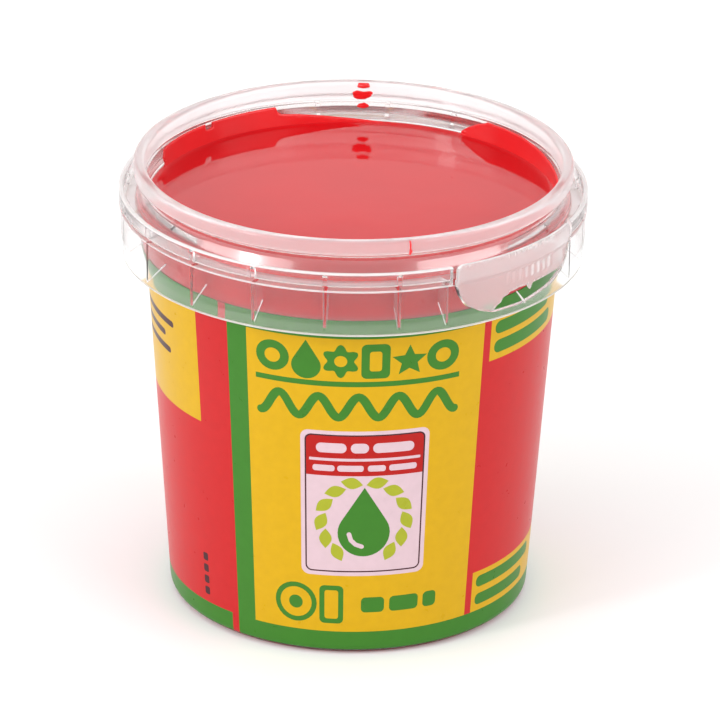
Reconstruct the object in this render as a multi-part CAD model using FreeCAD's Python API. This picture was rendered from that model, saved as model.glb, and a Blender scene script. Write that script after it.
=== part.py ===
import FreeCAD, Part
import math
import os

# Paint jar: a clear tapered pot, injection moulded in polypropylene, with a tamper-evident
# collar round its rim, an in-mould label, a tear-off flap in the collar, and its paint.
# Millimetres. +Z is up, and the origin is the centre of the base on the surface it stands on.
# The label's main panel faces -Y. An azimuth is in degrees from -Y, growing towards +X.

# Driving dimensions of the pot
HEIGHT = 68.6
FOOT_RADIUS = 26.87          # outer radius of the wall, carried down to z = 0
DRAFT = 0.0691               # growth of the wall's radius per millimetre of height
WALL = 0.8
FLOOR = 0.9
FOOT_HEIGHT = 0.8            # the floor panel hangs this far above the surface
FOOT_WIDTH = 1.2
CORNER = 1.7                 # round corner between wall and foot
NECK_START = 61.5            # the neck begins at the underside of the shelf

# Rim, where the lid snaps on
RIM_RADIUS = 32.6
RIM_DEPTH = 2.4
BEAD_SLOPE = 0.3             # rise of the bead's underside from the neck to its full radius
SEAT_RADIUS = 30.9           # cylindrical land that the lid's plug seals against
SEAT_START = 65.7
SEAT_END = 68.0
SEAT_LEDGE = 0.2             # height of the small step below the seat

# Tamper-evident collar: shelf, upstanding wall and hanging skirt
SKIRT_RADIUS = 34.5
SKIRT_WALL = 0.7
SKIRT_BOTTOM = 54.6
COLLAR_RADIUS = 34.75
COLLAR_TOP = 64.5
SHELF = 0.7

# Ribs between the wall and the skirt, spread evenly outside the flap, and the lid's guide fins
RIB_COUNT = 17
FIRST_RIB = 34.4             # degrees from the middle of the flap, on each side
RIB_WIDTH_TOP = 1.0
RIB_WIDTH_BOTTOM = 0.66
RIB_FOOT = 58.0              # height where a rib leaves the wall
END_RIB = 22.2               # a thin rib each side of the flap, degrees from its middle
END_RIB_WIDTH = 0.35
FIN_DEPTH = 0.5
FIN_WIDTH = 0.7
FIN_HEIGHT = 1.7

# Flap: outlines are in its own plane, square to the radius at this azimuth
FLAP_AZIMUTH = 46.0
HINGE_HIGH = (-11.69, 61.3)  # (sideways, height) of the flap's corners on the hinge side
HINGE_LOW = (-5.75, 56.4)
HINGE_GAP = 0.4              # bridged by the thin web of the living hinge
TORN_EDGE = 58.45            # height of the flap's torn lower edge
SLOT_LEFT = -12.62           # sides of the opening round the flap, and the lowest point of its hole
SLOT_RIGHT = 12.45
HOLE_BOTTOM = 55.85
CUT_NEAR = 25.0              # radial reach of the cuts through the collar
CUT_FAR = 40.0
GRIP_COUNT = 8               # small raised ribs on the flap
GRIP_FIRST = 41.0            # azimuth of the first
GRIP_PITCH = 2.2             # degrees
GRIP_START = 59.7
GRIP_END = 61.4
GRIP_WIDTH = 0.5
STRAND_RADIUS = 0.15

# Label and paint
LABEL = 0.1
LABEL_BOTTOM = 0.9
LABEL_TOP = 55.65
SEAM_START = -39.0           # the two ends of the wrapped label leave a narrow gap
SEAM_END = -36.5
PAINT_LEVEL = 62.2
SMEAR = 0.12
SMEAR_LEFT = (-158, -110)    # azimuths of the ends of the two smears inside the neck
SMEAR_RIGHT = (96, 146)

# Shared clearances
TOUCH = 0.01                 # between faces of one body that would share a curved face
CORNER_BLEND = 0.3
EDGE_BLEND = 0.22            # bevels the top of the collar's thin wall and rounds the skirt's edge


def wall_radius(height):
    """Outer radius of the tapered wall at a height."""
    return FOOT_RADIUS + DRAFT * height


def radial(radius, height):
    """Point of a section through the axis."""
    return FreeCAD.Vector(radius, 0, height)


def direction(azimuth):
    """Outward horizontal unit vector at an azimuth."""
    angle = math.radians(azimuth)
    return FreeCAD.Vector(math.sin(angle), -math.cos(angle), 0)


def sideways(azimuth):
    """Horizontal unit vector square to the radius, towards growing azimuth."""
    angle = math.radians(azimuth)
    return FreeCAD.Vector(math.cos(angle), math.sin(angle), 0)


def outline(corners, place):
    """Closed face through corners (a, b) or (a, b, radius), where a radius rounds that corner."""
    count = len(corners)
    points = [FreeCAD.Vector(corner[0], corner[1], 0) for corner in corners]
    entries = []
    for index, corner in enumerate(corners):
        here = points[index]
        radius = corner[2] if len(corner) > 2 else 0
        if not radius:
            entries.append((here, None, here))
            continue
        back = (points[index - 1] - here).normalize()
        onward = (points[(index + 1) % count] - here).normalize()
        half = back.getAngle(onward) / 2
        reach = radius / math.tan(half)
        middle = (back + onward).normalize()
        centre = here + middle * (radius / math.sin(half))
        entries.append((here + back * reach, centre - middle * radius, here + onward * reach))
    edges = []
    for index, (start, bulge, end) in enumerate(entries):
        if bulge is not None:
            arc = Part.Arc(place(start.x, start.y), place(bulge.x, bulge.y), place(end.x, end.y))
            edges.append(arc.toShape())
        following = entries[(index + 1) % count][0]
        edges.append(Part.LineSegment(place(end.x, end.y), place(following.x, following.y)).toShape())
    return Part.Face(Part.Wire(edges))


def ring(corners, start=0.0, sweep=360.0):
    """Solid of revolution from a section outline, from a start azimuth through a sweep."""
    section = outline(corners, radial)
    section.rotate(FreeCAD.Vector(0, 0, 0), FreeCAD.Vector(0, 0, 1), start - 90)
    return section.revolve(FreeCAD.Vector(0, 0, 0), FreeCAD.Vector(0, 0, 1), sweep)


def flap_prism(corners):
    """Prism through the collar from an outline in the flap's plane."""
    outward = direction(FLAP_AZIMUTH)
    across = sideways(FLAP_AZIMUTH)

    def place(offset, height):
        return across * offset + outward * CUT_NEAR + FreeCAD.Vector(0, 0, height)

    return outline(corners, place).extrude(outward * (CUT_FAR - CUT_NEAR))


def block(azimuth, inner, outer, low, high, width):
    """Box that stands radially at an azimuth."""
    solid = Part.makeBox(outer - inner, width, high - low, FreeCAD.Vector(inner, -width / 2, low))
    solid.rotate(FreeCAD.Vector(0, 0, 0), FreeCAD.Vector(0, 0, 1), azimuth - 90)
    return solid


def pot_wall():
    """Tapered wall with its round bottom corner and foot ring, up to the shelf."""
    foot_inner = FOOT_RADIUS - CORNER - FOOT_WIDTH
    floor_top = FOOT_HEIGHT + FLOOR
    return ring([
        (foot_inner, 0, CORNER_BLEND),
        (FOOT_RADIUS, 0, CORNER),
        (wall_radius(NECK_START), NECK_START),
        (wall_radius(NECK_START) - WALL, NECK_START),
        (wall_radius(floor_top) - WALL, floor_top, CORNER),
        (foot_inner, floor_top),
    ])


def pot_floor():
    """Floor panel inside the foot ring."""
    radius = FOOT_RADIUS - CORNER - FOOT_WIDTH
    return Part.makeCylinder(radius, FLOOR, FreeCAD.Vector(0, 0, FOOT_HEIGHT))


def rim_neck():
    """Neck above the shelf, with the bead that the lid snaps over and the seat for its plug."""
    bead_bottom = HEIGHT - RIM_DEPTH
    return ring([
        (wall_radius(NECK_START), NECK_START),
        (wall_radius(bead_bottom), bead_bottom, CORNER_BLEND),
        (RIM_RADIUS, bead_bottom + BEAD_SLOPE, 2 * CORNER_BLEND),
        (RIM_RADIUS, HEIGHT, 2 * CORNER_BLEND),
        (SEAT_RADIUS, HEIGHT, HEIGHT - SEAT_END),
        (SEAT_RADIUS, SEAT_START),
        (wall_radius(SEAT_START) - WALL, SEAT_START - SEAT_LEDGE),
        (wall_radius(NECK_START) - WALL, NECK_START),
    ])


def collar_ring(start):
    """Whole collar and skirt, before the flap is cut out of it, with its seam at an azimuth."""
    inner = SKIRT_RADIUS - SKIRT_WALL
    return ring([
        (inner, SKIRT_BOTTOM, EDGE_BLEND),
        (SKIRT_RADIUS, SKIRT_BOTTOM, EDGE_BLEND),
        (SKIRT_RADIUS, NECK_START),
        (COLLAR_RADIUS, NECK_START + CORNER_BLEND),
        (COLLAR_RADIUS, COLLAR_TOP - EDGE_BLEND),
        (COLLAR_RADIUS - EDGE_BLEND, COLLAR_TOP),
        (COLLAR_RADIUS - SKIRT_WALL + EDGE_BLEND, COLLAR_TOP),
        (COLLAR_RADIUS - SKIRT_WALL, COLLAR_TOP - EDGE_BLEND),
        (COLLAR_RADIUS - SKIRT_WALL, NECK_START + SHELF),
        (inner, NECK_START + SHELF),
    ], start)


def shelf_ring():
    """Flat annular shelf that joins the neck to the collar."""
    return ring([
        (wall_radius(NECK_START) + TOUCH, NECK_START),
        (SKIRT_RADIUS - SKIRT_WALL, NECK_START),
        (SKIRT_RADIUS - SKIRT_WALL, NECK_START + SHELF),
        (wall_radius(NECK_START + SHELF) + TOUCH, NECK_START + SHELF),
    ], FLAP_AZIMUTH)


def hinge_side():
    """Unit vectors along the flap's hinge line, down and right, and away from the flap."""
    along = FreeCAD.Vector(HINGE_LOW[0] - HINGE_HIGH[0], HINGE_LOW[1] - HINGE_HIGH[1], 0).normalize()
    away = FreeCAD.Vector(along.y, -along.x, 0)
    return along, away


def opening_outline():
    """Gap in the collar around the flap: slots at its sides and a crescent hole below it."""
    along, away = hinge_side()
    high = FreeCAD.Vector(*HINGE_HIGH, 0) + away * HINGE_GAP
    slope = along.y / along.x
    return [
        (SLOT_LEFT, high.y + (SLOT_LEFT - high.x) * slope),
        (high.x + (HOLE_BOTTOM - high.y) / slope, HOLE_BOTTOM),
        (0.24, HOLE_BOTTOM, 6),
        (7.0, 56.75),
        (9.93, 57.9, 2),
        (11.34, 59.3, 2),
        (SLOT_RIGHT, 62.0),
        (SLOT_RIGHT, COLLAR_TOP + 2),
        (SLOT_LEFT, COLLAR_TOP + 2),
    ]


def flap_outline():
    """Flap: straight top with round corners, a slanting right side and a torn lower edge."""
    return [
        (HINGE_HIGH[0], HINGE_HIGH[1]),
        (HINGE_LOW[0], HINGE_LOW[1]),
        (-5.2, 56.8),
        (-3.6, 57.9),
        (-1.9, TORN_EDGE),
        (10.1, TORN_EDGE, 0.6),
        (11.3, 60.3, 2),
        (11.95, 62.0),
        (12.0, COLLAR_TOP, 0.8),
        (HINGE_HIGH[0], COLLAR_TOP, 1),
    ]


def tamper_collar():
    """Collar and skirt with the opening for the flap."""
    return collar_ring(FLAP_AZIMUTH).cut(flap_prism(opening_outline()))


def collar_shelf():
    """Shelf, interrupted behind the flap."""
    return shelf_ring().cut(flap_prism(opening_outline()))


def seal_flap():
    """Tear-off flap, cut from the same section as the collar."""
    return collar_ring(FLAP_AZIMUTH + 180).common(flap_prism(flap_outline()))


def rib_azimuths():
    """Azimuths of the main ribs, evenly spaced from one side of the flap round to the other."""
    pitch = (360 - 2 * FIRST_RIB) / (RIB_COUNT - 1)
    return [FLAP_AZIMUTH + FIRST_RIB + pitch * step for step in range(RIB_COUNT)]


def rib(azimuth, width_top, width_bottom):
    """Thin gusset between wall and skirt that gets thinner and slants away downwards."""
    low = SKIRT_BOTTOM + CORNER_BLEND
    inner = wall_radius(low) - 1
    outer = SKIRT_RADIUS - SKIRT_WALL - TOUCH
    sections = []
    for height, width in ((low, width_bottom), (NECK_START, width_top)):
        corners = [(inner, -width / 2), (outer, -width / 2), (outer, width / 2), (inner, width / 2)]
        points = [FreeCAD.Vector(radius, offset, height) for radius, offset in corners]
        sections.append(Part.makePolygon(points + points[:1]))
    taper = Part.makeLoft(sections, True, True)
    gusset = outline([
        (wall_radius(RIB_FOOT) + TOUCH, RIB_FOOT),
        (outer + 1, low),
        (outer + 1, NECK_START),
        (wall_radius(NECK_START) + TOUCH, NECK_START),
    ], radial)
    gusset.translate(FreeCAD.Vector(0, -width_top, 0))
    solid = taper.common(gusset.extrude(FreeCAD.Vector(0, 2 * width_top, 0)))
    solid.rotate(FreeCAD.Vector(0, 0, 0), FreeCAD.Vector(0, 0, 1), azimuth - 90)
    return solid


def collar_ribs():
    """Main ribs under the shelf, and the thin end ribs beside the flap."""
    ribs = [rib(azimuth, RIB_WIDTH_TOP, RIB_WIDTH_BOTTOM) for azimuth in rib_azimuths()]
    for side in (-1, 1):
        ribs.append(rib(FLAP_AZIMUTH + side * END_RIB, END_RIB_WIDTH, END_RIB_WIDTH))
    return Part.makeCompound([solid for shape in ribs for solid in shape.Solids])


def lid_guide_fins():
    """Short fins inside the collar, on the shelf over each main rib."""
    outer = COLLAR_RADIUS - SKIRT_WALL - TOUCH
    low = NECK_START + SHELF
    fins = []
    for azimuth in rib_azimuths():
        fins.append(block(azimuth, outer - FIN_DEPTH, outer, low, low + FIN_HEIGHT, FIN_WIDTH))
    return Part.makeCompound(fins)


def label_film():
    """Printed film round the wall and into the bottom corner, with a narrow gap between its ends."""
    turn = (SEAM_END, 360 - (SEAM_END - SEAM_START))
    outside = ring([
        (0, -LABEL),
        (FOOT_RADIUS + LABEL, -LABEL, CORNER + LABEL),
        (wall_radius(LABEL_TOP) + LABEL, LABEL_TOP),
        (0, LABEL_TOP),
    ], *turn)
    wall = ring([(0, 0), (FOOT_RADIUS, 0, CORNER), (wall_radius(LABEL_TOP), LABEL_TOP), (0, LABEL_TOP)])
    below = Part.makeCylinder(2 * FOOT_RADIUS, 2, FreeCAD.Vector(0, 0, LABEL_BOTTOM - 2))
    return outside.cut(wall).cut(below)


def paint_fill():
    """Body of paint that fills the pot to just below the seat."""
    floor_top = FOOT_HEIGHT + FLOOR
    return ring([
        (0, floor_top + TOUCH),
        (wall_radius(floor_top) - WALL - TOUCH, floor_top + TOUCH, CORNER),
        (wall_radius(PAINT_LEVEL) - WALL - TOUCH, PAINT_LEVEL),
        (0, PAINT_LEVEL),
    ])


def paint_smear(start, end):
    """Film of paint that clings to the inside of the neck above the paint's surface."""
    low = PAINT_LEVEL + TOUCH
    high = SEAT_START - SEAT_LEDGE
    outer_low = wall_radius(low) - WALL - TOUCH
    outer_high = wall_radius(high) - WALL - TOUCH
    return ring([
        (outer_low - SMEAR, low),
        (outer_low, low),
        (outer_high, high),
        (outer_high - SMEAR, high),
    ], start, end - start)


def flap_grip_ribs():
    """Row of small raised ribs on the flap for a fingertip."""
    grips = []
    for step in range(GRIP_COUNT):
        azimuth = GRIP_FIRST + GRIP_PITCH * step
        grips.append(block(azimuth, SKIRT_RADIUS, COLLAR_RADIUS, GRIP_START, GRIP_END, GRIP_WIDTH))
    return Part.makeCompound(grips)


def torn_strand():
    """Broken bridge that stands up from the strip below the hole."""
    radius = SKIRT_RADIUS - SKIRT_WALL / 2
    foot = direction(47.2) * radius + FreeCAD.Vector(0, 0, 55.8)
    tip = direction(43.9) * radius + FreeCAD.Vector(0, 0, 58.0)
    return Part.makeCylinder(STRAND_RADIUS, (tip - foot).Length, foot, tip - foot)


NODES = {
    "pot_wall": pot_wall(),
    "pot_floor": pot_floor(),
    "rim_neck": rim_neck(),
    "collar_shelf": collar_shelf(),
    "tamper_collar": tamper_collar(),
    "collar_ribs": collar_ribs(),
    "lid_guide_fins": lid_guide_fins(),
    "torn_strand": torn_strand(),
    "seal_flap": seal_flap(),
    "flap_grip_ribs": flap_grip_ribs(),
    "label_film": label_film(),
    "paint_fill": paint_fill(),
    "paint_smear_left": paint_smear(*SMEAR_LEFT),
    "paint_smear_right": paint_smear(*SMEAR_RIGHT),
}

os.makedirs("parts", exist_ok=True)
for name, shape in NODES.items():
    shape.exportStep("parts/" + name + ".step")
    print(name, "volume", round(shape.Volume, 2), "solids", len(shape.Solids), "valid", shape.isValid())
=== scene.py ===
import math

import bmesh
import bpy
from mathutils import Matrix, Vector
from mathutils.geometry import delaunay_2d_cdt


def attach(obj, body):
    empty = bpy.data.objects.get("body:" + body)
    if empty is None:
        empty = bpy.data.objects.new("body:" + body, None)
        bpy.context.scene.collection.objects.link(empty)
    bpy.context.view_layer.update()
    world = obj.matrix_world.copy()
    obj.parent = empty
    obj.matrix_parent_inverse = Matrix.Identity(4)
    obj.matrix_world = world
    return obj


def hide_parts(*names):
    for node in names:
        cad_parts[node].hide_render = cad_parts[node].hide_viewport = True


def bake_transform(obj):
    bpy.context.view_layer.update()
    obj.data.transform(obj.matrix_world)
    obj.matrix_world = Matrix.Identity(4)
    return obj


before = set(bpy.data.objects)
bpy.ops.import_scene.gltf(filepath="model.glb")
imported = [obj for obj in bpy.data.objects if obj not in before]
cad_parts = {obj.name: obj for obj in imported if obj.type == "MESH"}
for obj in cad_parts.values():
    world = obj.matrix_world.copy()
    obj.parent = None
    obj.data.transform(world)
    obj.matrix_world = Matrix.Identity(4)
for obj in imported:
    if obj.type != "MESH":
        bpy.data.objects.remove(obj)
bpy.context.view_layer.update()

# Open paint jar: a clear moulded pot with a tear-off flap on its collar, a wrap-round label and wet paint.
# Lengths are millimetres until point() turns them into metres.
# An azimuth is in degrees from -Y towards +X, as in the CAD part.
MM = 0.001

# The pot's section. Only the shoulder and the hazy part of the skirt aren't in the CAD part.
HEIGHT = 68.6
FOOT_RADIUS = 26.87
DRAFT = 0.0691
WALL = 0.8
FLOOR_LOW = 0.8
FLOOR_TOP = 1.7
CORNER = 1.7
FOOT_INNER = 23.97
SHELF_LOW = 61.5
SHELF_TOP = 62.2
BEAD_LOW = 66.2
RIM_RADIUS = 32.6
SEAT_RADIUS = 30.9
SEAT_START = 65.7
SEAT_LEDGE = 0.2
SKIRT_RADIUS = 34.5
SKIRT_INNER = 33.8
SKIRT_LOW = 54.6
SKIRT_ROUND = 0.22           # rounding of the thin edges of skirt and collar
HAZY_TOP = 57.6              # the skirt is slightly hazy below this height
HAZIER_TOP = 56.4            # and a little more below this one
COLLAR_RADIUS = 34.75
COLLAR_INNER = 34.05
COLLAR_TOP = 64.5
COLLAR_STEP = 0.3            # height over which the skirt widens to the collar
SHOULDER_RADIUS = 32.2       # thick, sloping foot of the neck, just above the shelf
SHOULDER_LOW = 63.3
SHOULDER_TOP = 64.9
RIM_ROUND = 0.6
SEGMENTS = 480               # round the whole pot

FLAP_AZIMUTH = 46.0
LABEL_LOW = 0.9
LABEL_TOP = 55.65
SEAM = (-39.0, -36.5)        # azimuths of the label's two ends
PAINT_LEVEL = 62.2


def wall_radius(height):
    """Outer radius of the tapered wall."""
    return FOOT_RADIUS + DRAFT * height


def inner_radius(height):
    """Inner radius of the tapered wall."""
    return wall_radius(height) - WALL


def point(azimuth, radius, height):
    """Point of the scene, in metres, from cylindrical millimetres."""
    angle = math.radians(azimuth)
    return Vector((math.sin(angle) * radius, -math.cos(angle) * radius, height)) * MM


def flap_point(offset, radius, height):
    """Point at a sideways offset from the middle of the flap, on a cylinder of a radius."""
    return point(FLAP_AZIMUTH + math.degrees(math.asin(offset / radius)), radius, height)


def rounded(corners, closed=True, steps=6):
    """Polyline through corners (a, b) or (a, b, radius), with an arc at each corner with a radius."""
    count = len(corners)
    line = []
    for index, corner in enumerate(corners):
        here = Vector(corner[:2])
        radius = corner[2] if len(corner) > 2 else 0
        ends = not closed and index in (0, count - 1)
        if not radius or ends:
            line.append(here)
            continue
        back = (Vector(corners[index - 1][:2]) - here).normalized()
        onward = (Vector(corners[(index + 1) % count][:2]) - here).normalized()
        half = back.angle(onward) / 2
        centre = here + (back + onward).normalized() * (radius / math.sin(half))
        first = here + back * (radius / math.tan(half)) - centre
        last = here + onward * (radius / math.tan(half)) - centre
        turn = first.angle_signed(last)
        for step in range(steps + 1):
            line.append(centre + Matrix.Rotation(-turn * step / steps, 2) @ first)
    return line


def new_object(name, vertices, faces, smooth_angle=30):
    """Mesh object, shaded smooth apart from edges sharper than an angle, in degrees."""
    mesh = bpy.data.meshes.new(name)
    mesh.from_pydata([tuple(v) for v in vertices], [], faces)
    mesh.update()
    piece = bpy.data.objects.new(name, mesh)
    bpy.context.scene.collection.objects.link(piece)
    tidy_normals(piece, smooth_angle)
    return piece


def tidy_normals(piece, smooth_angle=30):
    """Points the faces outwards and marks the sharp edges."""
    mesh = piece.data
    work = bmesh.new()
    work.from_mesh(mesh)
    bmesh.ops.recalc_face_normals(work, faces=work.faces)
    work.to_mesh(mesh)
    work.free()
    mesh.shade_smooth()
    mesh.set_sharp_from_angle(angle=math.radians(smooth_angle))


def revolve(name, section, segments=SEGMENTS, smooth_angle=30):
    """Closed solid of revolution. A section that starts and ends on the axis is closed by it."""
    vertices = []
    rings = []
    for radius, height in section:
        if radius < 1e-6:
            rings.append([len(vertices)])
            vertices.append(point(0, 0, height))
            continue
        rings.append(list(range(len(vertices), len(vertices) + segments)))
        for step in range(segments):
            vertices.append(point(360 * step / segments, radius, height))
    faces = []
    count = len(rings)
    for index in range(count):
        low, high = rings[index], rings[(index + 1) % count]
        if len(low) == 1 and len(high) == 1:
            continue
        for step in range(segments):
            after = (step + 1) % segments
            if len(low) == 1:
                faces.append((low[0], high[after], high[step]))
            elif len(high) == 1:
                faces.append((low[step], low[after], high[0]))
            else:
                faces.append((low[step], low[after], high[after], high[step]))
    return new_object(name, vertices, faces, smooth_angle)


def distance_to(outline, spot):
    """Distance of a point from a closed outline."""
    best = 1e9
    for index, start in enumerate(outline):
        end = outline[(index + 1) % len(outline)]
        run = end - start
        length = run.length_squared
        share = max(0.0, min(1.0, (spot - start).dot(run) / length)) if length else 0
        best = min(best, (start + run * share - spot).length)
    return best


def turned_left(outline):
    """The outline in counter-clockwise order."""
    area = sum(outline[k - 1].cross(outline[k]) for k in range(len(outline)))
    return outline if area > 0 else outline[::-1]


def triangulate(shapes, columns=(), rows=(), dots=()):
    """Flat points, and triangles of overlapping shapes cut along columns and rows.

    Each triangle comes with the index of the last shape that it is in.
    """
    points = []
    edges = []
    loops = []
    for shape in shapes:
        loops.append(list(range(len(points), len(points) + len(shape))))
        points.extend(turned_left([Vector(p) for p in shape]))
    left, right = min(p.x for p in points), max(p.x for p in points)
    low, high = min(p.y for p in points), max(p.y for p in points)
    for column in columns:
        if left < column < right:
            edges.append((len(points), len(points) + 1))
            points.extend((Vector((column, low)), Vector((column, high))))
    for row in rows:
        if low < row < high:
            edges.append((len(points), len(points) + 1))
            points.extend((Vector((left, row)), Vector((right, row))))
    points.extend(Vector(d) for d in dots)
    found = delaunay_2d_cdt(points, edges, loops, 0, 1e-5)
    triangles = []
    for face, owners in zip(found[2], found[5]):
        if owners:
            triangles.append((tuple(face), max(owners)))
    return found[0], triangles


def slab(name, shapes, front, back, columns=(), rows=(), dots=(), smooth_angle=30):
    """Closed sheet between two surfaces over flat shapes.

    Returns the piece and, face by face, the index of the shape that it belongs to.
    """
    flat, triangles = triangulate(shapes, columns, rows, dots)
    used = sorted({corner for triangle, _ in triangles for corner in triangle})
    place = {corner: index for index, corner in enumerate(used)}
    count = len(used)
    vertices = [front(flat[corner]) for corner in used] + [back(flat[corner]) for corner in used]
    faces = []
    owners = []
    borders = {}
    for triangle, owner in triangles:
        a, b, c = (place[corner] for corner in triangle)
        faces.append((a, b, c))
        faces.append((c + count, b + count, a + count))
        owners.extend((owner, owner))
        for edge in ((a, b), (b, c), (c, a)):
            if (edge[1], edge[0]) in borders:
                del borders[(edge[1], edge[0])]
            else:
                borders[edge] = owner
    for (a, b), owner in borders.items():
        faces.append((b, a, a + count, b + count))
        owners.append(owner)
    return new_object(name, vertices, faces, smooth_angle), owners


def join_boolean(piece, others, operation):
    """Adds the others to the piece, or cuts them from it, and removes them."""
    group = bpy.data.collections.new("operands")
    for other in others:
        group.objects.link(other)
    modifier = piece.modifiers.new("join", "BOOLEAN")
    modifier.operation = operation
    modifier.solver = "MANIFOLD"
    modifier.operand_type = "COLLECTION"
    modifier.collection = group
    view = bpy.context.evaluated_depsgraph_get()
    result = bpy.data.meshes.new_from_object(piece.evaluated_get(view))
    piece.modifiers.clear()
    piece.data = result
    for other in others:
        bpy.data.objects.remove(other)
    bpy.data.collections.remove(group)


# ---------------------------------------------------------------- pot

def shell_section():
    """Outline of the moulding: from the middle of its underside, up the outside, down the inside."""
    return rounded([
        (0, FLOOR_LOW),
        (FOOT_INNER, FLOOR_LOW, 0.3),
        (FOOT_INNER, 0, 0.3),
        (FOOT_RADIUS, 0, CORNER),
        (wall_radius(SHELF_LOW), SHELF_LOW, 0.3),
        (SKIRT_INNER, SHELF_LOW, 0.25),
        (SKIRT_INNER, HAZY_TOP),
        (SKIRT_INNER, HAZIER_TOP),
        (SKIRT_INNER, SKIRT_LOW, SKIRT_ROUND),
        (SKIRT_RADIUS, SKIRT_LOW, SKIRT_ROUND),
        (SKIRT_RADIUS, HAZIER_TOP),
        (SKIRT_RADIUS, HAZY_TOP),
        (SKIRT_RADIUS, SHELF_LOW, 0.1),
        (COLLAR_RADIUS, SHELF_LOW + COLLAR_STEP, 0.1),
        (COLLAR_RADIUS, COLLAR_TOP, SKIRT_ROUND),
        (COLLAR_INNER, COLLAR_TOP, SKIRT_ROUND),
        (COLLAR_INNER, SHELF_TOP, 0.25),
        (SHOULDER_RADIUS, SHELF_TOP, 0.3),
        (SHOULDER_RADIUS, SHOULDER_LOW, 0.7),
        (wall_radius(SHOULDER_TOP), SHOULDER_TOP, 1.2),
        (wall_radius(BEAD_LOW), BEAD_LOW, 0.3),
        (RIM_RADIUS, BEAD_LOW + 0.3, RIM_ROUND),
        (RIM_RADIUS, HEIGHT, RIM_ROUND),
        (SEAT_RADIUS, HEIGHT, RIM_ROUND),
        (SEAT_RADIUS, SEAT_START, 0.1),
        (inner_radius(SEAT_START), SEAT_START - SEAT_LEDGE, 0.1),
        (inner_radius(FLOOR_TOP), FLOOR_TOP, CORNER),
        (0, FLOOR_TOP),
    ], closed=False)


# Outline of the gap in the collar: (offset from the middle of the flap, height)
OPENING = rounded([
    (-12.62, 65.2),
    (-12.62, 61.55, 0.3),
    (-11.75, 61.3, 0.3),
    (-11.35, 59.9, 2),
    (-10.2, 57.9, 2),
    (-8.2, 56.75, 2),
    (-5.7, 55.95, 3),
    (0.24, 55.85, 6),
    (7.0, 56.75),
    (9.93, 57.9, 2),
    (11.34, 59.3, 2),
    (12.45, 62.0, 3),
    (12.45, 65.2),
])


def opening_cutter():
    """Solid that cuts the gap round the flap out of the collar, skirt and shelf."""
    inner = SHOULDER_RADIUS + 0.1
    outer = COLLAR_RADIUS + 1.75
    piece, _ = slab(
        "opening_cutter", [OPENING],
        lambda p: flap_point(p.x, outer, p.y),
        lambda p: flap_point(p.x, inner, p.y),
        columns=[step * 0.6 for step in range(-22, 23)])
    return piece


def wedge(azimuth, corners):
    """Radial plate at an azimuth. Each corner is (radius, height, half width)."""
    left = []
    right = []
    for radius, height, half in corners:
        lean = math.degrees(half / radius)
        left.append(point(azimuth - lean, radius, height))
        right.append(point(azimuth + lean, radius, height))
    count = len(corners)
    faces = [tuple(range(count)), tuple(reversed(range(count, 2 * count)))]
    for index in range(count):
        after = (index + 1) % count
        faces.append((index, index + count, after + count, after))
    return new_object("wedge", left + right, faces)


RIB_COUNT = 17
RIB_START = 34.4             # azimuth of the first and last rib from the middle of the flap
RIB_PITCH = (360 - 2 * RIB_START) / (RIB_COUNT - 1)
RIB_AZIMUTHS = [FLAP_AZIMUTH + RIB_START + RIB_PITCH * step for step in range(RIB_COUNT)]
END_RIB_AZIMUTHS = [FLAP_AZIMUTH - 22.2, FLAP_AZIMUTH + 22.2]
RIB_LOW = 54.95              # at the skirt
RIB_WALL_LOW = 58.0          # at the wall
BURY = 0.3                   # how far a rib reaches into its neighbours


def rib(azimuth, half_top, half_low):
    """Gusset between wall and skirt under the shelf."""
    return wedge(azimuth, [
        (wall_radius(RIB_WALL_LOW) - BURY, RIB_WALL_LOW, (half_top + half_low) / 2),
        (SKIRT_INNER + BURY, RIB_LOW, half_low),
        (SKIRT_INNER + BURY, SHELF_LOW + BURY, half_top),
        (wall_radius(SHELF_LOW) - BURY, SHELF_LOW + BURY, half_top),
    ])


def fin(azimuth):
    """Low fin that guides the lid, inside the collar."""
    half = 0.35
    inner, outer = COLLAR_INNER - 0.5, COLLAR_INNER + 0.2
    low, high = SHELF_TOP - 0.2, SHELF_TOP + 1.7
    return wedge(azimuth, [
        (inner, low, half),
        (outer, low, half),
        (outer, high, half),
        (COLLAR_INNER - 0.2, high, half),
        (inner, high - 0.4, half),
    ])


shell = revolve("pot_shell", shell_section())
join_boolean(shell, [opening_cutter()], "DIFFERENCE")
additions = [rib(azimuth, 0.3, 0.22) for azimuth in RIB_AZIMUTHS]
additions += [rib(azimuth, 0.18, 0.18) for azimuth in END_RIB_AZIMUTHS]
additions += [fin(azimuth) for azimuth in RIB_AZIMUTHS]
join_boolean(shell, additions, "UNION")
tidy_normals(shell)

# ---------------------------------------------------------------- flap

FLAP_STEP = 0.2              # height over which the inside of the flap widens, at the shelf


def flap_outer(height):
    """Outer radius of collar and skirt at a height."""
    share = max(0.0, min(1.0, (height - SHELF_LOW) / COLLAR_STEP))
    return SKIRT_RADIUS + (COLLAR_RADIUS - SKIRT_RADIUS) * share


def flap_inner(height):
    """Inner radius of collar and skirt at a height."""
    share = max(0.0, min(1.0, (height - SHELF_TOP + FLAP_STEP / 2) / FLAP_STEP))
    return SKIRT_INNER + (COLLAR_INNER - SKIRT_INNER) * share


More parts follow.
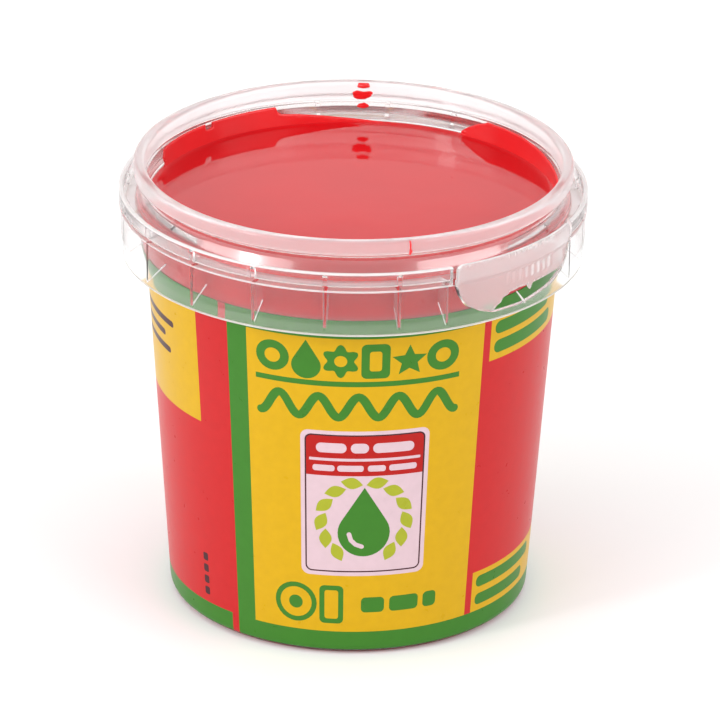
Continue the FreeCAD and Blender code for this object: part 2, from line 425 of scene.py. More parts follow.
# Outline of the flap, torn along its lower edge: (offset from its middle, height)
FLAP = rounded([
    (-11.7, COLLAR_TOP, 1),
    (-11.7, 61.33, 0.1),
    (-11.32, 59.92, 2),
    (-10.18, 57.93, 2),
    (-8.18, 56.78, 2),
    (-5.75, 56.05, 0.2),
    (-5.1, 56.7),
    (-4.3, 57.1),
    (-3.9, 57.75),
    (-3.1, 57.95),
    (-2.5, 58.35),
    (-1.6, 58.3),
    (-0.9, 58.5),
    (1.2, 58.4),
    (1.75, 57.5),
    (2.2, 58.4),
    (4.0, 58.42),
    (10.1, 58.45, 0.6),
    (11.3, 60.3, 2),
    (11.95, 62.0, 2),
    (12.0, COLLAR_TOP, 0.8),
])
EDGE_ROUND = 0.16


def inset_dots(outline, insets):
    """Points just inside an outline, at several distances from it."""
    dots = []
    count = len(outline)
    dense = []
    for index, start in enumerate(outline):
        end = outline[(index + 1) % count]
        pieces = max(1, round((end - start).length / 0.3))
        dense.extend(start.lerp(end, step / pieces) for step in range(pieces))
    for index, here in enumerate(dense):
        run = (dense[(index + 1) % len(dense)] - dense[index - 1]).normalized()
        across = Vector((run.y, -run.x))
        for inset in insets:
            for side in (-1, 1):
                spot = here + across * inset * side
                if inside(outline, spot) and distance_to(outline, spot) > inset * 0.8:
                    dots.append(spot)
    return dots


def inside(outline, spot):
    """Whether a point is inside a closed outline."""
    odd = False
    for index, a in enumerate(outline):
        b = outline[index - 1]
        if (a.y > spot.y) != (b.y > spot.y):
            if spot.x < (b.x - a.x) * (spot.y - a.y) / (b.y - a.y) + a.x:
                odd = not odd
    return odd


def edge_drop(outline, spot, radius):
    """How far a surface with a rounded edge lies below its level, near the outline."""
    reach = min(distance_to(outline, spot), radius)
    return radius - math.sqrt(max(0.0, radius ** 2 - (radius - reach) ** 2))


GRIPS = [SKIRT_RADIUS * math.sin(math.radians(2.2 * k - 5)) for k in range(8)]
GRIP_MIDDLE = 60.55
GRIP_RISE = 0.07
GRIP_HALF_WIDTH = 0.32
GRIP_HALF_HEIGHT = 0.9
GRIP_SIDE = 0.1              # width of a grip's sloping sides
GRIP_END = 0.15              # height of its sloping ends


def grip_rise(p):
    """Height of the small grip bars over the outside of the flap."""
    across = min(abs(p.x - x) for x in GRIPS)
    along = abs(p.y - GRIP_MIDDLE)
    share = min((GRIP_HALF_WIDTH - across) / GRIP_SIDE, (GRIP_HALF_HEIGHT - along) / GRIP_END, 1.0)
    return GRIP_RISE * max(0.0, share)


def flap_front(p):
    """Point on the outside of the flap."""
    radius = flap_outer(p.y) - 0.01 - edge_drop(FLAP, p, EDGE_ROUND) + grip_rise(p)
    return flap_point(p.x, radius, p.y)


def flap_back(p):
    """Point on the inside of the flap."""
    return flap_point(p.x, flap_inner(p.y) + edge_drop(FLAP, p, EDGE_ROUND), p.y)


plain_columns = [step * 0.6 for step in (*range(-20, -5), *range(12, 21))]
grip_columns = [x + across for x in GRIPS for across in (-0.33, -0.21, 0.21, 0.33)]
grip_rows = [GRIP_MIDDLE + along for along in (-0.92, -0.73, 0.73, 0.92)]
flap, _ = slab(
    "flap_shell", [FLAP], flap_front, flap_back,
    columns=plain_columns + grip_columns,
    rows=[56.8, 57.6, 58.2, 58.9, *grip_rows,
          SHELF_LOW + COLLAR_STEP, SHELF_TOP - FLAP_STEP / 2, SHELF_TOP + FLAP_STEP / 2, 63.0, 63.8],
    dots=inset_dots(FLAP, (0.04, 0.1, 0.17)),
    smooth_angle=50)

# ---------------------------------------------------------------- label

X_PER_DEGREE = 0.5           # flat label millimetres per degree, true at the middle of the wall
FILM_OUTER = 0.09            # the film's two sides stand this far off the wall
FILM_INNER = 0.02


def disc(x, z, radius, count=28):
    """Circle as a polygon."""
    angles = [math.tau * k / count for k in range(count)]
    return [(x + radius * math.cos(angle), z + radius * math.sin(angle)) for angle in angles]


def box(left, low, right, high, radius=0.0):
    """Rectangle, with rounded corners if it has a radius."""
    corners = [(left, low), (right, low), (right, high), (left, high)]
    return rounded([(*corner, radius) for corner in corners]) if radius else corners


def band(start, end, low, high, radius=0.0):
    """Box between two azimuths."""
    return box(start * X_PER_DEGREE, low, end * X_PER_DEGREE, high, radius)


def petals(x, z, radius, count, depth):
    """Closed wavy outline with a number of lobes."""
    shape = []
    for k in range(12 * count):
        angle = math.tau * k / (12 * count)
        reach = radius * (1 - depth + depth * math.cos(count * angle))
        shape.append((x + reach * math.sin(angle), z + reach * math.cos(angle)))
    return shape


def star(x, z, outer, inner, count=5):
    """Star with a number of points, one of them straight up."""
    shape = []
    for k in range(2 * count):
        angle = math.pi * k / count
        reach = inner if k % 2 else outer
        shape.append((x + reach * math.sin(angle), z + reach * math.cos(angle)))
    return shape


def drop(x, z, radius, height):
    """Drop that stands on its round end; z is the middle of the round part."""
    shape = []
    tip = math.acos(radius / height)
    for k in range(25):
        angle = math.pi / 2 + tip + (math.tau - 2 * tip) * k / 24
        shape.append((x + radius * math.cos(angle), z + radius * math.sin(angle)))
    shape.append((x, z + height))
    return shape


def leaf(x, z, length, width, turn):
    """Pointed leaf about its middle; turn is its lean from upright, in radians."""
    steps = 10
    edge = [Vector((width / 2 * math.sin(math.pi * k / steps), length * (k / steps - 0.5)))
            for k in range(steps)]
    edge += [-p for p in edge]
    lean = Matrix.Rotation(-turn, 2)
    return [Vector((x, z)) + lean @ p for p in edge]


def ribbon(spine, width):
    """Stroke of a width along a line of points, with round ends."""
    sides = ([], [])
    for index, here in enumerate(spine):
        run = (spine[min(index + 1, len(spine) - 1)] - spine[max(index - 1, 0)]).normalized()
        across = Vector((-run.y, run.x)) * width / 2
        sides[0].append(here + across)
        sides[1].append(here - across)
    caps = []
    for end, inner in ((spine[-1], spine[-2]), (spine[0], spine[1])):
        run = (end - inner).normalized()
        first = Vector((-run.y, run.x)) * width / 2
        caps.append([end + Matrix.Rotation(-math.pi * k / 8, 2) @ first for k in range(1, 8)])
    return sides[0] + caps[0] + sides[1][::-1] + caps[1]


def bars(inks, ink, start, end, lows, height, shares):
    """Rows of plain rounded bars that stand for lines of small print."""
    for low, share in zip(lows, shares):
        stop = start + (end - start) * share
        inks.append((band(start, stop, low, low + height, height * 0.45), ink))


PANEL_LOW = 3.94             # the panels lie between the two green bands
PANEL_HIGH = 52.6
SIDE_BOX_LOW = 45.8          # foot of the yellow box at the top right
SIDE_BOX_TOP = 10.65         # top of the one at the bottom right
LEFT_BOX_LOW = 34.3


def panels():
    """Ground of the label: red windows, green bands and yellow panels."""
    turn = 360 + SEAM[0]
    return [
        (band(SEAM[0], turn, LABEL_LOW, LABEL_TOP), "window"),
        (band(SEAM[1], turn, LABEL_LOW, PANEL_LOW), "green"),
        (band(SEAM[1], turn, PANEL_HIGH, LABEL_TOP), "green"),
        (band(SEAM[1], -30.1, PANEL_LOW, PANEL_HIGH), "green"),
        (band(-30.1, 39.5, PANEL_LOW, PANEL_HIGH), "yellow"),
        (band(42.0, 118, SIDE_BOX_LOW, PANEL_HIGH), "yellow"),
        (band(42.0, 118, PANEL_LOW, SIDE_BOX_TOP), "yellow"),
        (band(244, 311.5, LEFT_BOX_LOW, PANEL_HIGH), "yellow"),
        (band(140, 146.4, PANEL_LOW, PANEL_HIGH), "green"),
        (band(146.4, 216, PANEL_LOW, PANEL_HIGH), "yellow"),
    ]


def header():
    """Row of six plain shapes, a rule and a brush wave."""
    z = 48.95
    xs = [-11.1 + 4.84 * k for k in range(6)]
    inks = []
    for x in (xs[0], xs[5]):
        inks.append((disc(x, z, 2.45), "green"))
        inks.append((disc(x, z, 1.15), "yellow"))
    inks.append((drop(xs[1], z - 1.0, 2.1, 4.2), "green"))
    inks.append((petals(xs[2], z, 2.7, 6, 0.16), "green"))
    inks.append((disc(xs[2], z, 0.9), "yellow"))
    inks.append((box(xs[3] - 2.0, z - 2.8, xs[3] + 2.0, z + 2.8, 0.8), "green"))
    inks.append((box(xs[3] - 0.85, z - 1.6, xs[3] + 0.85, z + 1.6, 0.4), "yellow"))
    inks.append((star(xs[4] - 0.1, z - 0.2, 2.6, 1.2), "green"))
    inks.append((band(-27.4, 31.6, 44.8, 45.65), "green"))
    cycles, steps = 5, 120
    wave = [Vector((-13.0 + 28.3 * k / steps, 41.45 - 1.7 * math.cos(math.tau * cycles * k / steps)))
            for k in range(steps + 1)]
    inks.append((ribbon(wave, 1.3), "green"))
    return inks


def badge():
    """Framed card with a red head, plain bars, leaves and a paint drop."""
    left, right, low, high = -7.15, 11.6, 13.4, 37.5
    middle = (left + right) / 2
    line, ground = 0.62, 0.85    # insets of the thin frame and of the ground inside it
    inks = [
        (box(left, low, right, high, 1.2), "pale"),
        (box(left + line, low + line, right - line, high - line, 1.0), "dark"),
        (box(left + ground, low + ground, right - ground, high - ground, 0.8), "pale"),
        (rounded([
            (left + ground, 30.1), (right - ground, 30.1),
            (right - ground, high - ground, 0.8), (left + ground, high - ground, 0.8)]), "red"),
        (box(middle - 8.1, 32.55, middle + 8.1, 33.0, 0.1), "pale"),
    ]
    for start, width in ((-7.1, 4.4), (-2.1, 2.6), (1.1, 6.0)):
        inks.append((box(middle + start, 33.9, middle + start + width, 35.5, 0.75), "pale"))
    for start, width in ((-7.6, 3.2), (-4.0, 3.8), (0.4, 2.6), (3.5, 4.1)):
        inks.append((box(middle + start, 30.85, middle + start + width, 31.85, 0.4), "pale"))
    for side in (-1, 1):
        for k in range(6):
            lean = math.radians(38 + 25 * k)
            x = middle + side * 6.4 * math.sin(lean)
            z = 22.6 - 6.6 * math.cos(lean)
            inks.append((leaf(x, z, 3.3, 1.9, side * (1.1 - lean)), "leaf"))
    inks.append((drop(middle, 20.6, 3.9, 7.6), "green"))
    gleam = [Vector((middle + x, z)) for x, z in ((-2.2, 20.4), (-1.9, 19.4), (-1.2, 18.7), (-0.3, 18.35))]
    inks.append((ribbon(gleam, 0.7), "pale"))
    return inks


def marks():
    """Plain ring, frame and bars under the badge."""
    rings = ((3.3, "green"), (2.5, "yellow"), (1.1, "green"))
    inks = [(disc(-8.1, 8.5, radius), ink) for radius, ink in rings]
    inks.append((box(-4.4, 5.3, -0.7, 11.7, 0.8), "green"))
    inks.append((box(-3.6, 6.1, -1.5, 10.9, 0.4), "yellow"))
    for start, width in ((2.0, 3.6), (6.4, 4.6), (11.8, 2.2)):
        inks.append((box(start, 7.2, start + width, 9.75, 0.7), "green"))
    return inks


def side_marks():
    """Bars in the side and back panels, and four dashes by the seam."""
    inks = []
    bars(inks, "green", 43.6, 74, (49.9, 46.8), 2.1, (0.92, 1.0))
    bars(inks, "green", 43.6, 78, (7.9, 4.9), 1.9, (0.95, 0.8))
    bars(inks, "dark", 262, 300, (47.2, 44.9, 42.6), 1.0, (1.0, 0.85, 0.93))
    bars(inks, "dark", 152, 208, (47, 44, 41, 38, 33, 30, 27, 24, 21), 1.0,
         (0.95, 0.9, 1.0, 0.6, 0.92, 0.98, 0.9, 0.96, 0.4))
    for k in range(4):
        inks.append((band(308.9, 311.2, 5.2 + 1.9 * k, 6.5 + 1.9 * k, 0.3), "dark"))
    return inks


def wall_surface(height, stand_off):
    """Radius and height of a point that stands off the outside of the wall, corner included."""
    slope = math.sqrt(1 + DRAFT ** 2)
    centre = wall_radius(CORNER) - CORNER * slope
    if height > CORNER - CORNER * DRAFT / slope:
        return wall_radius(height) + stand_off * slope, height
    rise = CORNER - height
    across = math.sqrt(CORNER ** 2 - rise ** 2)
    share = (CORNER + stand_off) / CORNER
    return centre + across * share, CORNER - rise * share


def on_label(stand_off):
    """Function that lays a flat label point on the wall."""
    def place(p):
        radius, height = wall_surface(p.y, stand_off)
        return point(p.x / X_PER_DEGREE, radius, height)
    return place


INKS = panels() + header() + badge() + marks() + side_marks()   # each laid over those before it
label, ink_faces = slab(
    "label_sheet", [shape for shape, _ in INKS], on_label(FILM_OUTER), on_label(FILM_INNER),
    columns=[step * 1.0 for step in range(-18, 161)],
    rows=(1.05, 1.25, 1.6, SIDE_BOX_TOP, 20.0, 28.0, LEFT_BOX_LOW, 40.0, SIDE_BOX_LOW, 50.0),
    smooth_angle=40)

# Normals straight across the film, so that its flat triangles don't show
spots = [vertex.co for vertex in label.data.vertices]
half_count = len(spots) // 2
across_film = [(spots[k] - spots[k + half_count]).normalized() for k in range(half_count)]
label.data.normals_split_custom_set_from_vertices(across_film + [-n for n in across_film])

# ---------------------------------------------------------------- paint

WET = 0.03                   # smears reach this far into the clear wall, so no air shows between them
DEEP = 0.6                   # how far the side of the paint reaches into it, so that it carries the red
CREEP = 0.34                 # rise of the paint where it wets the wall
CREEP_WIDTH = 1.6


def paint_section():
    """Outline of the paint: along its foot, up its side, and inwards over its curved edge and surface."""
    level = PAINT_LEVEL
    edge = inner_radius(level)
    rise = []
    for step in range(9):
        share = step / 8
        rise.append((edge + WET - CREEP_WIDTH * (1 - share), level + CREEP * share ** 3))
    side = rounded([
        (0, FLOOR_TOP - DEEP),
        (inner_radius(FLOOR_TOP) + DEEP, FLOOR_TOP - DEEP, CORNER),
        (edge + DEEP, level + 0.3, 0.1),
        (edge + WET, level + CREEP)], closed=False)
    return [*side[:-1], *reversed(rise), (24.0, level), (16.0, level), (8.0, level), (0, level)]


paint = revolve("paint_body", paint_section(), 360)


def open_radius(height):
    """Radius of the inside of the neck, the lid's seat and its rounded top edge included."""
    if height < SEAT_START - 0.1:
        return inner_radius(height)
    reach = max(0.0, height - (HEIGHT - RIM_ROUND))
    return SEAT_RADIUS + RIM_ROUND - math.sqrt(max(0.0, RIM_ROUND ** 2 - reach ** 2))


def smear(name, outline, thickness):
    """Film of paint on the inside of the neck, from an outline of (azimuth, height, rounding)."""
    scale = math.radians(1) * inner_radius(64)
    shape = rounded([(corner[0] * scale, *corner[1:]) for corner in outline])
    low = min(p.x for p in shape)
    high = max(p.x for p in shape)
    column = 0.7

    def wet_side(p):
        return point(p.x / scale, open_radius(p.y) + WET, p.y)

    def open_side(p):
        radius = open_radius(p.y) - thickness + edge_drop(shape, p, thickness)
        return point(p.x / scale, radius, p.y)

    piece, _ = slab(
        name, [shape], wet_side, open_side,
        columns=[low + column * step for step in range(1, int((high - low) / column))],
        rows=[62.2 + 0.35 * step for step in range(19)],
        dots=inset_dots(shape, (0.06, 0.14, 0.25)), smooth_angle=60)
    return piece


SMEAR_THICKNESS = 0.22
smear_left = smear("smear_left", [
    (-110.5, 62.0), (-111.2, 63.0, 0.2), (-110.2, 63.9, 0.3), (-110.9, 64.6, 0.2),
    (-111.3, 65.1, 0.2), (-113, 65.3, 0.2), (-120, 65.42, 0.5), (-132.6, 65.42, 0.1),
    (-132.4, 64.5, 0.4), (-135.2, 64.5, 0.4), (-135.0, 65.42, 0.1), (-156.9, 65.45, 0.3),
    (-157.5, 64.6, 0.4), (-158.7, 64.2, 0.4), (-164, 63.9, 2), (-169, 63.56, 2),
    (-176, 63.1, 2), (-182, 62.8, 2), (-190, 62.45, 2), (-195, 62.0)], SMEAR_THICKNESS)
smear_right = smear("smear_right", [
    (148.0, 62.0), (147.6, 63.0, 0.5), (145.5, 63.8, 0.8), (142.2, 64.73, 0.8), (139.6, 65.2, 0.4),
    (138.7, 65.47, 0.3), (124, 65.47, 1), (117.5, 65.27, 1), (109, 64.96, 1), (98, 64.6, 1),
    (92.0, 63.9, 0.8), (88.0, 62.9, 0.8), (85, 62.0)], SMEAR_THICKNESS)

# Dried drips inside the back of the rim
drip_large = smear("drip_large", [
    (180.3, 66.15, 0.2), (179.3, 65.85, 0.4), (177.2, 65.85, 0.6), (175.5, 66.3, 0.4), (174.7, 67.0, 0.2),
    (175.6, 67.25, 0.3), (177.5, 67.1, 0.3), (179.4, 67.3, 0.3), (180.7, 67.0, 0.2)], 0.12)
drip_top = smear("drip_top", [
    (179.4, 67.8, 0.2), (177.5, 67.6, 0.3), (175.6, 67.85, 0.2), (176.0, 68.45, 0.2),
    (179.0, 68.45, 0.2)], 0.08)
drip_low = smear("drip_low", [
    (179.6, 64.75, 0.2), (177.4, 64.5, 0.3), (175.6, 64.8, 0.2), (176.2, 65.2, 0.2), (177.2, 65.45, 0.2),
    (178.8, 65.25, 0.2)], 0.06)

# ---------------------------------------------------------------- small parts

# Bubbles on the paint: (azimuth, radius, half width)
BUBBLES = (
    (-55, 27.5, 0.2), (38, 29.0, 0.16), (52, 24.0, 0.2),
    (8, 21.0, 0.12), (-12, 13.0, 0.13), (120, 17.0, 0.12))


def bubble(azimuth, radius, size):
    """Low dome that stands on the paint."""
    foot = PAINT_LEVEL - 0.03
    angles = [math.radians(a) for a in range(0, 91, 15)]
    arc = [(size * math.cos(a), foot + 0.6 * size * math.sin(a)) for a in angles]
    dome = revolve("bubble", [(0, foot), *arc[:-1], (0, arc[-1][1])], 16)
    dome.data.transform(Matrix.Translation(point(azimuth, radius, 0)))
    return dome


bubbles, *others = [bubble(*place) for place in BUBBLES]
join_boolean(bubbles, others, "UNION")
bubbles.name = "paint_bubbles"
tidy_normals(bubbles)


def tube(name, places, radii, sides=10):
    """Closed tube through points (azimuth, radius, height), with its own radius at each."""
    path = [point(*place) for place in places]
    vertices = []
    for index, here in enumerate(path):
        run = (path[min(index + 1, len(path) - 1)] - path[max(index - 1, 0)]).normalized()
        first = run.orthogonal().normalized()
        second = run.cross(first)
        for k in range(sides):
            angle = math.tau * k / sides
            outward = first * math.cos(angle) + second * math.sin(angle)
            vertices.append(here + outward * (radii[index] * MM))
    faces = [tuple(range(sides)), tuple(reversed(range((len(path) - 1) * sides, len(path) * sides)))]
    for index in range(len(path) - 1):
        for k in range(sides):
            after = (k + 1) % sides
            a, b = index * sides, (index + 1) * sides
            faces.append((a + k, a + after, b + after, b + k))
    return new_object(name, vertices, faces, 60)


strand = tube(
    "torn_strand",
    [(47.2, 34.15, 55.7), (46.3, 34.2, 56.4), (45.2, 34.25, 57.2), (44.1, 34.3, 57.95)],
    [0.22, 0.15, 0.13, 0.1])

# Thin streak of paint over the front of the bead
drip_front = tube(
    "drip_front",
    [(14.6, 32.0, 68.55), (14.7, 32.45, 68.3), (14.8, 32.6, 67.9),
     (14.8, 32.6, 67.3), (14.9, 32.6, 66.9), (14.7, 32.4, 66.35)],
    [0.08, 0.14, 0.15, 0.11, 0.24, 0.15])

# ---------------------------------------------------------------- materials


def material(name, colour, roughness, mottling, scale, bump=0.0, **sockets):
    """Principled material whose colour, roughness and relief vary a little with a noise.

    scale is the size of the noise, in metres, and bump the height of its relief. Any other socket
    is set by its name, with _ for each space.
    """
    result = bpy.data.materials.new(name)
    result.use_nodes = True
    tree = result.node_tree
    shader = tree.nodes["Principled BSDF"]
    where = tree.nodes.new("ShaderNodeTexCoord")
    noise = tree.nodes.new("ShaderNodeTexNoise")
    noise.inputs["Scale"].default_value = 1 / scale
    noise.inputs["Detail"].default_value = 3
    tree.links.new(where.outputs["Object"], noise.inputs["Vector"])
    ramp = tree.nodes.new("ShaderNodeValToRGB")
    dark, light = ramp.color_ramp.elements
    dark.position = 0.3
    light.position = 0.7
    dark.color = [c * (1 - mottling) for c in colour] + [1]
    light.color = [min(1, c * (1 + mottling)) for c in colour] + [1]
    tree.links.new(noise.outputs["Fac"], ramp.inputs["Fac"])
    tree.links.new(ramp.outputs["Color"], shader.inputs["Base Color"])
    spread = tree.nodes.new("ShaderNodeMapRange")
    spread.inputs["To Min"].default_value = roughness * 0.8
    spread.inputs["To Max"].default_value = roughness * 1.2
    tree.links.new(noise.outputs["Fac"], spread.inputs["Value"])
    tree.links.new(spread.outputs["Result"], shader.inputs["Roughness"])
    if bump:
        relief = tree.nodes.new("ShaderNodeBump")
        relief.inputs["Strength"].default_value = 1.0
        relief.inputs["Distance"].default_value = bump
        tree.links.new(noise.outputs["Fac"], relief.inputs["Height"])
        tree.links.new(relief.outputs["Normal"], shader.inputs["Normal"])
    for socket, value in sockets.items():
        shader.inputs[socket.replace("_", " ")].default_value = value
    return result


def add_haze(plastic, share, grazing, colour):
    """Lets a share of the light scatter through a clear material, rising to grazing along the sheet."""
    tree = plastic.node_tree
    scatter = tree.nodes.new("ShaderNodeBsdfTranslucent")
    scatter.inputs["Color"].default_value = (*colour, 1)
    weight = tree.nodes.new("ShaderNodeLayerWeight")
    weight.inputs["Blend"].default_value = 0.5
    amount = tree.nodes.new("ShaderNodeMapRange")
    amount.inputs["From Min"].default_value = 0.4
    amount.inputs["To Min"].default_value = share
    amount.inputs["To Max"].default_value = grazing
    tree.links.new(weight.outputs["Facing"], amount.inputs["Value"])
    blend = tree.nodes.new("ShaderNodeMixShader")
    tree.links.new(amount.outputs["Result"], blend.inputs["Fac"])
    tree.links.new(tree.nodes["Principled BSDF"].outputs["BSDF"], blend.inputs[1])
    tree.links.new(scatter.outputs["BSDF"], blend.inputs[2])
    tree.links.new(blend.outputs["Shader"], tree.nodes["Material Output"].inputs["Surface"])


# Grades of one clear plastic, which looks milkier where it is thick, worn, cut or seen edge on. The
# whitest grade also paints highlights as white bands along the edges of skirt, collar, shelf and flap.
CLEAR = material("clear_plastic", (0.995, 0.99, 0.99), 0.04, 0.005, 0.006, 0.000004,
                 IOR=1.4, Transmission_Weight=1.0)
add_haze(CLEAR, 0.0, 0.3, (1.0, 0.97, 0.97))
# The pink in the colours and haze of these grades, strongest in the milky one, is painted glow: red light
# from the paint, scattered in the plastic
MILKY = material("thick_plastic", (0.99, 0.95, 0.955), 0.06, 0.01, 0.006, 0.000004,
                 IOR=1.42, Transmission_Weight=0.84)
add_haze(MILKY, 0.12, 0.55, (1.0, 0.96, 0.96))
SHINY = material("shiny_plastic", (0.995, 0.985, 0.985), 0.06, 0.005, 0.006, 0.000004,
                 IOR=1.4, Transmission_Weight=1.0, Coat_Weight=1.0, Coat_Roughness=0.2, Coat_IOR=1.9)
add_haze(SHINY, 0.04, 0.3, (1.0, 0.97, 0.97))
HAZY = material("hazy_plastic", (0.99, 0.985, 0.975), 0.05, 0.005, 0.006, 0.000004,
                IOR=1.4, Transmission_Weight=0.97)
HAZIER = material("hazier_plastic", (0.99, 0.98, 0.965), 0.06, 0.005, 0.006, 0.000004,
                  IOR=1.4, Transmission_Weight=0.94)
SCUFFED = material("scuffed_plastic", (0.985, 0.97, 0.97), 0.1, 0.01, 0.003, 0.000006,
                   IOR=1.45, Transmission_Weight=0.79)
add_haze(SCUFFED, 0.2, 0.5, (1.0, 0.96, 0.96))
WHITE_EDGE_AND_HIGHLIGHT = material("white_edge_and_painted_highlight", (0.98, 0.97, 0.97), 0.2, 0.02, 0.002, 0.000006,
                IOR=1.45, Transmission_Weight=0.35)
add_haze(WHITE_EDGE_AND_HIGHLIGHT, 0.3, 0.5, (1.0, 0.97, 0.97))
PAINT = material("wet_paint", (0.54, 0.003, 0.006), 0.05, 0.03, 0.012, 0.00001, IOR=1.48)
SMEARED = material("smeared_paint", (0.68, 0.008, 0.011), 0.25, 0.04, 0.008, 0.00002, IOR=1.48)
# Brighter copy of the paint for its faces against the plastic: painted light that makes up for the light
# lost in the wall
BRIGHTENED_PAINT_BEHIND = material("paint_behind_plastic_brightened", (0.80, 0.02, 0.025), 0.3, 0.03, 0.012)
INK_LOOKS = {
    "yellow": (0.53, 0.305, 0.002),
    "green": (0.036, 0.16, 0.014),
    "pale": (0.56, 0.41, 0.45),
    "dark": (0.05, 0.012, 0.016),
    "red": (0.36, 0.006, 0.004),
    "leaf": (0.31, 0.33, 0.02),
    "window": (0.45, 0.012, 0.013),
}
EDGE_BAND = 0.25             # height of the bands of painted highlight at the edges of skirt and collar
SHELF_MIDDLE = (SHELF_LOW + SHELF_TOP) / 2
SHELF_BAND = 0.6             # half the height of the faces that count as shelf
EDGE_ON = 0.3                # a face that looks outwards less than this is an edge


def shell_look(radius, height, outward, _upward):
    """Material of a face of the pot: clear; milky where the moulding is thick or seen edge on; white, as
    painted highlight, along the edges of skirt, collar and shelf.
    """
    skirt = radius > SKIRT_INNER - 0.1
    if height > BEAD_LOW - 0.1:
        return MILKY
    # Painted highlights: white bands at the bottom of the skirt, the top of the collar and where the shelf
    # meets the skirt
    if skirt and not SKIRT_LOW + EDGE_BAND <= height <= COLLAR_TOP - EDGE_BAND:
        return WHITE_EDGE_AND_HIGHLIGHT
    if radius > SHOULDER_RADIUS and abs(height - SHELF_MIDDLE) < SHELF_BAND:
        return WHITE_EDGE_AND_HIGHLIGHT if radius > SKIRT_INNER - 0.2 else MILKY
    shoulder = SHOULDER_LOW - 0.6 < height < SHOULDER_TOP + 0.4
    if shoulder and radius < SHOULDER_RADIUS + 0.1 and outward > EDGE_ON:
        return SHINY
    if skirt and height < HAZY_TOP:
        return HAZY if height > HAZIER_TOP else HAZIER
    return CLEAR


def flap_look(_radius, _height, outward, _upward):
    """Material of a face of the flap: scuffed, or its white edge, which is torn plastic whitened and
    painted highlight.
    """
    return WHITE_EDGE_AND_HIGHLIGHT if abs(outward) < EDGE_ON else SCUFFED


def paint_look(front):
    """Look of a piece of paint: front, or a brighter copy where it is seen through plastic, painted light
    that makes up for the light lost in the wall.
    """
    def look(_radius, _height, outward, upward):
        return BRIGHTENED_PAINT_BEHIND if outward > 0.5 or upward < -0.5 else front
    return look


def dress(piece, materials, look):
    """Gives each face one of the materials, by its radius and height and by how it faces out and up."""
    piece.data.materials.clear()
    for item in materials:
        piece.data.materials.append(item)
    for face in piece.data.polygons:
        flat = Vector((face.center.x, face.center.y, 0))
        outward = face.normal.dot(flat.normalized())
        chosen = look(flat.length / MM, face.center.z / MM, outward, face.normal.z)
        face.material_index = materials.index(chosen)


dress(shell, (CLEAR, MILKY, WHITE_EDGE_AND_HIGHLIGHT, HAZY, HAZIER, SHINY), shell_look)
dress(flap, (SCUFFED, WHITE_EDGE_AND_HIGHLIGHT), flap_look)
dress(strand, (WHITE_EDGE_AND_HIGHLIGHT,), lambda *_: WHITE_EDGE_AND_HIGHLIGHT)
PAINT_PIECES = (paint, bubbles, smear_left, smear_right, drip_large, drip_top, drip_low, drip_front)
for piece in PAINT_PIECES:
    surface = PAINT if piece in (paint, bubbles) else SMEARED
    dress(piece, (surface, BRIGHTENED_PAINT_BEHIND), paint_look(surface))

ink_names = list(INK_LOOKS)
for name, colour in INK_LOOKS.items():
    label.data.materials.append(
        material("ink_" + name, colour, 0.3, 0.03, 0.0015, Specular_IOR_Level=0.2))
for face, owner in zip(label.data.polygons, ink_faces):
    face.material_index = ink_names.index(INKS[owner][1])

# ---------------------------------------------------------------- riding on the CAD

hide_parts("pot_wall", "pot_floor", "rim_neck", "collar_shelf", "tamper_collar",
            "collar_ribs", "lid_guide_fins")
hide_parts("seal_flap", "flap_grip_ribs")
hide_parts("label_film")
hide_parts("paint_fill")
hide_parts("paint_smear_left")
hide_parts("paint_smear_right")
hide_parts("torn_strand")
for piece in (shell, label, strand, *PAINT_PIECES):
    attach(piece, "pot")
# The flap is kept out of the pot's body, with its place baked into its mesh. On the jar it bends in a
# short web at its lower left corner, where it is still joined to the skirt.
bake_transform(flap)

# ---------------------------------------------------------------- stage

FLOOR_HALF = 3.0
floor_corners = ((-1, -1), (1, -1), (1, 1), (-1, 1))
floor = new_object(
    "floor", [Vector((x * FLOOR_HALF, y * FLOOR_HALF, 0)) for x, y in floor_corners], [(0, 1, 2, 3)])
floor.data.materials.append(material("floor_paper", (0.9, 0.9, 0.9), 0.6, 0.004, 0.05))

world = bpy.data.worlds.new("studio")
bpy.context.scene.world = world
world.use_nodes = True
sky = world.node_tree
background = sky.nodes["Background"]
where = sky.nodes.new("ShaderNodeTexCoord")
split = sky.nodes.new("ShaderNodeSeparateXYZ")
ramp = sky.nodes.new("ShaderNodeValToRGB")
sky.links.new(where.outputs["Generated"], split.inputs["Vector"])
sky.links.new(split.outputs["Z"], ramp.inputs["Fac"])
sky.links.new(ramp.outputs["Color"], background.inputs["Color"])
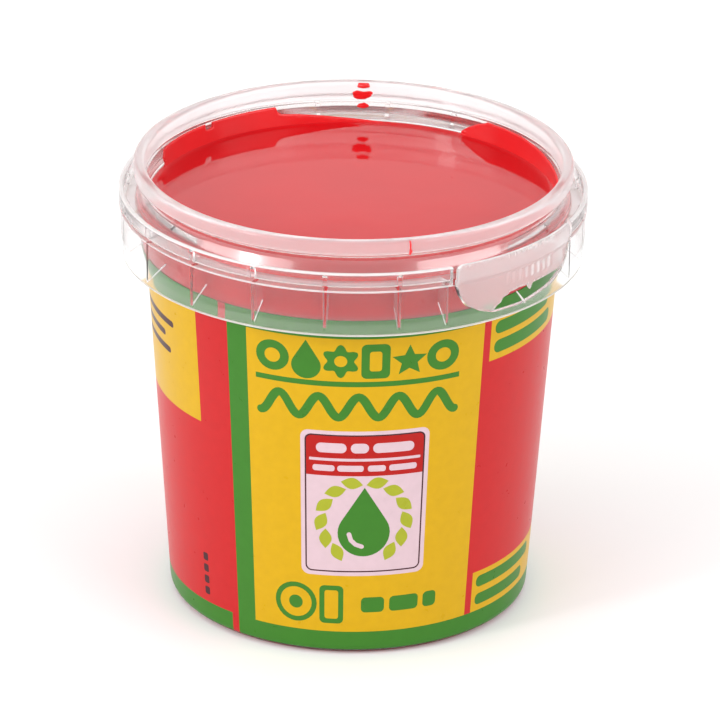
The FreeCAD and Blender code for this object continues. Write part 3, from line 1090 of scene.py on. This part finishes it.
# Brightness of the studio by the sine of the elevation. The darker band is what the paint mirrors.
SKY = ((0.0, 1.1), (0.378, 1.12), (0.391, 0.7), (0.42, 0.7), (0.5, 0.95), (0.7, 0.8), (1.0, 0.6))
SKY_STRENGTH = 1.3
stops = ramp.color_ramp.elements
for index, (height, brightness) in enumerate(SKY):
    stop = stops[0] if index == 0 else stops.new(height)
    stop.position = height
    stop.color = (brightness / SKY_STRENGTH, brightness / SKY_STRENGTH, brightness / SKY_STRENGTH, 1)
stops.remove(stops[-1])
background.inputs["Strength"].default_value = SKY_STRENGTH


def softbox(name, azimuth, elevation, distance, width, height, power):
    """Rectangular lamp, in metres and watts, that looks at the middle of the pot."""
    light = bpy.data.lights.new(name, "AREA")
    light.shape = "RECTANGLE"
    light.size = width
    light.size_y = height
    light.energy = power
    lamp = bpy.data.objects.new(name, light)
    bpy.context.scene.collection.objects.link(lamp)
    flat = math.cos(math.radians(elevation)) * distance
    rise = math.sin(math.radians(elevation)) * distance
    angle = math.radians(azimuth)
    target = Vector((0, 0, 0.04))
    lamp.location = target + Vector((math.sin(angle) * flat, -math.cos(angle) * flat, rise))
    lamp.rotation_euler = (lamp.location - target).to_track_quat("Z", "Y").to_euler()


softbox("softbox_left", -60, 26, 1.0, 0.9, 0.4, 3.4)
softbox("softbox_right", 60, 26, 1.0, 0.8, 0.4, 4.0)
softbox("lamp_left", -56, 26, 0.95, 0.15, 0.32, 2.3)

CAMERA_PLACE = (0, -0.8717, 0.4179)     # in metres
CAMERA_PITCH = math.radians(23.6607)
CAMERA_YAW = math.radians(0.0875)
CAMERA_ROLL = math.radians(0.8058)
camera = bpy.data.cameras.new("camera")
camera.sensor_width = 36.0
camera.lens = 317.3
camera.clip_start = 0.01
camera.clip_end = 20.0
view = bpy.data.objects.new("camera", camera)
bpy.context.scene.collection.objects.link(view)
flat = math.cos(CAMERA_PITCH)
forward = Vector((math.sin(CAMERA_YAW) * flat, math.cos(CAMERA_YAW) * flat, -math.sin(CAMERA_PITCH)))
level = forward.cross(Vector((0, 0, 1))).normalized()
upright = level.cross(forward)
side = level * math.cos(CAMERA_ROLL) + upright * math.sin(CAMERA_ROLL)
top = upright * math.cos(CAMERA_ROLL) - level * math.sin(CAMERA_ROLL)
pose = Matrix((side, top, -forward)).transposed().to_4x4()
pose.translation = Vector(CAMERA_PLACE)
view.matrix_world = pose
bpy.context.scene.camera = view
bpy.context.scene.view_settings.view_transform = "Standard"

bpy.context.view_layer.update()
